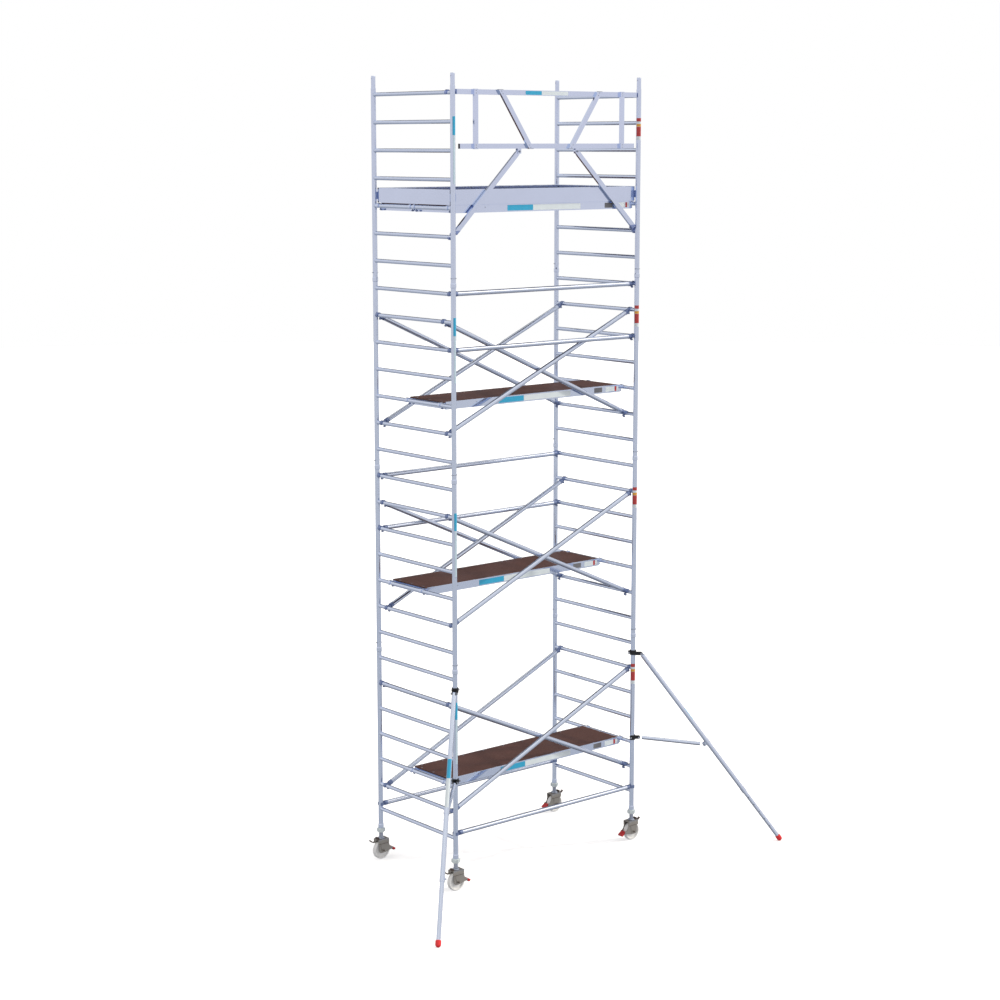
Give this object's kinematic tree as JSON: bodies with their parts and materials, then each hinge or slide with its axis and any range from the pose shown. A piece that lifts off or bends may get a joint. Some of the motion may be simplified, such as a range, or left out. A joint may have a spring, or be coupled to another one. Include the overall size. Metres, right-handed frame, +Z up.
{
  "type": "mobile tower scaffold",
  "caption": "Aluminium mobile tower scaffold with ladder frames on braked castors, hooked braces, timber decks, toe boards, guard rail and telescopic stabilisers.",
  "frame": {"origin": "floor level under the middle of the whole footprint, stabiliser feet included", "axes": "+Z up; +X along the bay from the left ladder frame to the right one; -Y towards the guard rail and the stabilisers, the side a viewer stands on"},
  "size_m": [4.893, 2.475, 8.307],
  "materials": {
    "aluminium": "satin extruded",
    "plywood": "film-faced plywood, satin",
    "wheel_nylon": "satin nylon",
    "nut_nylon": "satin nylon",
    "castor_steel": "zinc plated, dull",
    "red_plastic": "satin",
    "red_rubber": "matte",
    "black_coupler": "satin black",
    "hook_casting": "cast, dull",
    "pin_steel": "zinc plated",
    "clip_casting": "cast, satin",
    "leg_steel": "zinc plated"
  },
  "bodies": {
    "tower": {"brace_hooks": "hook_casting", "braces_level_1": "aluminium", "braces_level_2": "aluminium", "braces_level_3": "aluminium", "deck_1": "plywood", "deck_2": "plywood", "deck_3": "plywood", "deck_4_back": "plywood", "deck_4_front": "plywood", "frame_left_1": "aluminium", "frame_left_2": "aluminium", "frame_left_3": "aluminium", "frame_left_4": "aluminium", "frame_lock_pins": "pin_steel", "frame_right_1": "aluminium", "frame_right_2": "aluminium", "frame_right_3": "aluminium", "frame_right_4": "aluminium", "guard_panel": "aluminium", "platform_frame_1": "aluminium", "platform_frame_2": "aluminium", "platform_frame_3": "aluminium", "platform_frame_4_back": "aluminium", "platform_frame_4_front": "aluminium", "toe_board_clips": "clip_casting", "toe_boards": "aluminium"},
    "nut_back_left": {"leg_nut_back_left": "nut_nylon"},
    "leg_back_left": {"castor_leg_back_left": "leg_steel"},
    "fork_back_left": {"castor_fork_back_left": "castor_steel"},
    "wheel_back_left": {"castor_wheel_back_left": "wheel_nylon"},
    "pedal_back_left": {"castor_pedal_back_left": "red_plastic"},
    "nut_front_left": {"leg_nut_front_left": "nut_nylon"},
    "leg_front_left": {"castor_leg_front_left": "leg_steel"},
    "fork_front_left": {"castor_fork_front_left": "castor_steel"},
    "wheel_front_left": {"castor_wheel_front_left": "wheel_nylon"},
    "pedal_front_left": {"castor_pedal_front_left": "red_plastic"},
    "nut_back_right": {"leg_nut_back_right": "nut_nylon"},
    "leg_back_right": {"castor_leg_back_right": "leg_steel"},
    "fork_back_right": {"castor_fork_back_right": "castor_steel"},
    "wheel_back_right": {"castor_wheel_back_right": "wheel_nylon"},
    "pedal_back_right": {"castor_pedal_back_right": "red_plastic"},
    "nut_front_right": {"leg_nut_front_right": "nut_nylon"},
    "leg_front_right": {"castor_leg_front_right": "leg_steel"},
    "fork_front_right": {"castor_fork_front_right": "castor_steel"},
    "wheel_front_right": {"castor_wheel_front_right": "wheel_nylon"},
    "pedal_front_right": {"castor_pedal_front_right": "red_plastic"},
    "guard_strut_left": {"guard_strut_left": "aluminium"},
    "guard_strut_right": {"guard_strut_right": "aluminium"},
    "stabiliser_left_clamp": {"stabiliser_left_upper_coupler": "black_coupler"},
    "stabiliser_left_leg": {"stabiliser_left_leg": "aluminium"},
    "stabiliser_left_inner": {"stabiliser_left_inner_leg": "aluminium", "stabiliser_left_foot": "red_rubber"},
    "stabiliser_left_strut": {"stabiliser_left_strut": "aluminium", "stabiliser_left_lower_coupler": "black_coupler"},
    "stabiliser_right_clamp": {"stabiliser_right_upper_coupler": "black_coupler"},
    "stabiliser_right_leg": {"stabiliser_right_leg": "aluminium"},
    "stabiliser_right_inner": {"stabiliser_right_inner_leg": "aluminium", "stabiliser_right_foot": "red_rubber"},
    "stabiliser_right_strut": {"stabiliser_right_strut": "aluminium", "stabiliser_right_lower_coupler": "black_coupler"}
  },
  "joints": [
    {"name": "nut_turn_back_left", "type": "hinge", "parent": "tower", "child": "nut_back_left", "pos_m": [-1.3075, 1.1855, 0.32], "axis": [0, 0, 1], "continuous": true},
    {"name": "leg_adjust_back_left", "type": "slide", "parent": "tower", "child": "leg_back_left", "axis": [0, 0, 1], "range_m": [-0.15, 0.05]},
    {"name": "castor_swivel_back_left", "type": "hinge", "parent": "leg_back_left", "child": "fork_back_left", "pos_m": [-1.3075, 1.1855, 0.22], "axis": [0, 0, 1], "continuous": true},
    {"name": "wheel_roll_back_left", "type": "hinge", "parent": "fork_back_left", "child": "wheel_back_left", "pos_m": [-1.3075, 1.1855, 0.1], "axis": [0, 1, 0], "continuous": true},
    {"name": "brake_pedal_back_left", "type": "hinge", "parent": "fork_back_left", "child": "pedal_back_left", "pos_m": [-1.1935, 1.1855, 0.108], "axis": [0, -1, 0], "range_deg": [0, 25]},
    {"name": "nut_turn_front_left", "type": "hinge", "parent": "tower", "child": "nut_front_left", "pos_m": [-1.3075, -0.1025, 0.32], "axis": [0, 0, 1], "continuous": true},
    {"name": "leg_adjust_front_left", "type": "slide", "parent": "tower", "child": "leg_front_left", "axis": [0, 0, 1], "range_m": [-0.15, 0.05]},
    {"name": "castor_swivel_front_left", "type": "hinge", "parent": "leg_front_left", "child": "fork_front_left", "pos_m": [-1.3075, -0.1025, 0.22], "axis": [0, 0, 1], "continuous": true},
    {"name": "wheel_roll_front_left", "type": "hinge", "parent": "fork_front_left", "child": "wheel_front_left", "pos_m": [-1.3075, -0.1025, 0.1], "axis": [0, 1, 0], "continuous": true},
    {"name": "brake_pedal_front_left", "type": "hinge", "parent": "fork_front_left", "child": "pedal_front_left", "pos_m": [-1.1935, -0.1025, 0.108], "axis": [0, -1, 0], "range_deg": [0, 25]},
    {"name": "nut_turn_back_right", "type": "hinge", "parent": "tower", "child": "nut_back_right", "pos_m": [1.1925, 1.1855, 0.32], "axis": [0, 0, 1], "continuous": true},
    {"name": "leg_adjust_back_right", "type": "slide", "parent": "tower", "child": "leg_back_right", "axis": [0, 0, 1], "range_m": [-0.15, 0.05]},
    {"name": "castor_swivel_back_right", "type": "hinge", "parent": "leg_back_right", "child": "fork_back_right", "pos_m": [1.1925, 1.1855, 0.22], "axis": [0, 0, 1], "continuous": true},
    {"name": "wheel_roll_back_right", "type": "hinge", "parent": "fork_back_right", "child": "wheel_back_right", "pos_m": [1.1925, 1.1855, 0.1], "axis": [0, 1, 0], "continuous": true},
    {"name": "brake_pedal_back_right", "type": "hinge", "parent": "fork_back_right", "child": "pedal_back_right", "pos_m": [1.0785, 1.1855, 0.108], "axis": [0, 1, 0], "range_deg": [0, 25]},
    {"name": "nut_turn_front_right", "type": "hinge", "parent": "tower", "child": "nut_front_right", "pos_m": [1.1925, -0.1025, 0.32], "axis": [0, 0, 1], "continuous": true},
    {"name": "leg_adjust_front_right", "type": "slide", "parent": "tower", "child": "leg_front_right", "axis": [0, 0, 1], "range_m": [-0.15, 0.05]},
    {"name": "castor_swivel_front_right", "type": "hinge", "parent": "leg_front_right", "child": "fork_front_right", "pos_m": [1.1925, -0.1025, 0.22], "axis": [0, 0, 1], "continuous": true},
    {"name": "wheel_roll_front_right", "type": "hinge", "parent": "fork_front_right", "child": "wheel_front_right", "pos_m": [1.1925, -0.1025, 0.1], "axis": [0, 1, 0], "continuous": true},
    {"name": "brake_pedal_front_right", "type": "hinge", "parent": "fork_front_right", "child": "pedal_front_right", "pos_m": [1.0785, -0.1025, 0.108], "axis": [0, 1, 0], "range_deg": [0, 25]},
    {"name": "guard_strut_fold_left", "type": "hinge", "parent": "tower", "child": "guard_strut_left", "pos_m": [-0.4475, -0.0835, 7.55], "axis": [0, -1, 0], "range_deg": [0, 60]},
    {"name": "guard_strut_fold_right", "type": "hinge", "parent": "tower", "child": "guard_strut_right", "pos_m": [0.3325, -0.0835, 7.55], "axis": [0, 1, 0], "range_deg": [0, 60]},
    {"name": "stabiliser_left_swing", "type": "hinge", "parent": "tower", "child": "stabiliser_left_clamp", "pos_m": [-1.3075, -0.1025, 2.136], "axis": [0, 0, 1], "range_deg": [-40, 40]},
    {"name": "stabiliser_left_lift", "type": "hinge", "parent": "stabiliser_left_clamp", "child": "stabiliser_left_leg", "pos_m": [-1.37125, -0.16603, 2.122], "axis": [-0.7058, 0.7084, 0], "range_deg": [0, 50]},
    {"name": "stabiliser_left_strut_fold", "type": "hinge", "parent": "stabiliser_left_leg", "child": "stabiliser_left_strut", "pos_m": [-1.85224, -0.64527, 1.08349], "axis": [0.7058, -0.7084, 0], "range_deg": [0, 34]},
    {"name": "stabiliser_left_extend", "type": "slide", "parent": "stabiliser_left_leg", "child": "stabiliser_left_inner", "axis": [-0.4084, -0.407, -0.8171], "range_m": [-0.45, 0.3]},
    {"name": "stabiliser_right_swing", "type": "hinge", "parent": "tower", "child": "stabiliser_right_clamp", "pos_m": [1.1925, -0.1025, 2.136], "axis": [0, 0, 1], "range_deg": [-40, 40]},
    {"name": "stabiliser_right_lift", "type": "hinge", "parent": "stabiliser_right_clamp", "child": "stabiliser_right_leg", "pos_m": [1.25957, -0.16251, 2.122], "axis": [-0.6668, -0.7453, 0], "range_deg": [0, 50]},
    {"name": "stabiliser_right_strut_fold", "type": "hinge", "parent": "stabiliser_right_leg", "child": "stabiliser_right_strut", "pos_m": [1.78407, -0.63178, 1.10013], "axis": [0.6668, 0.7453, 0], "range_deg": [0, 34]},
    {"name": "stabiliser_right_extend", "type": "slide", "parent": "stabiliser_right_leg", "child": "stabiliser_right_inner", "axis": [0.4442, -0.3974, -0.8029], "range_m": [-0.45, 0.3]}
  ]
}
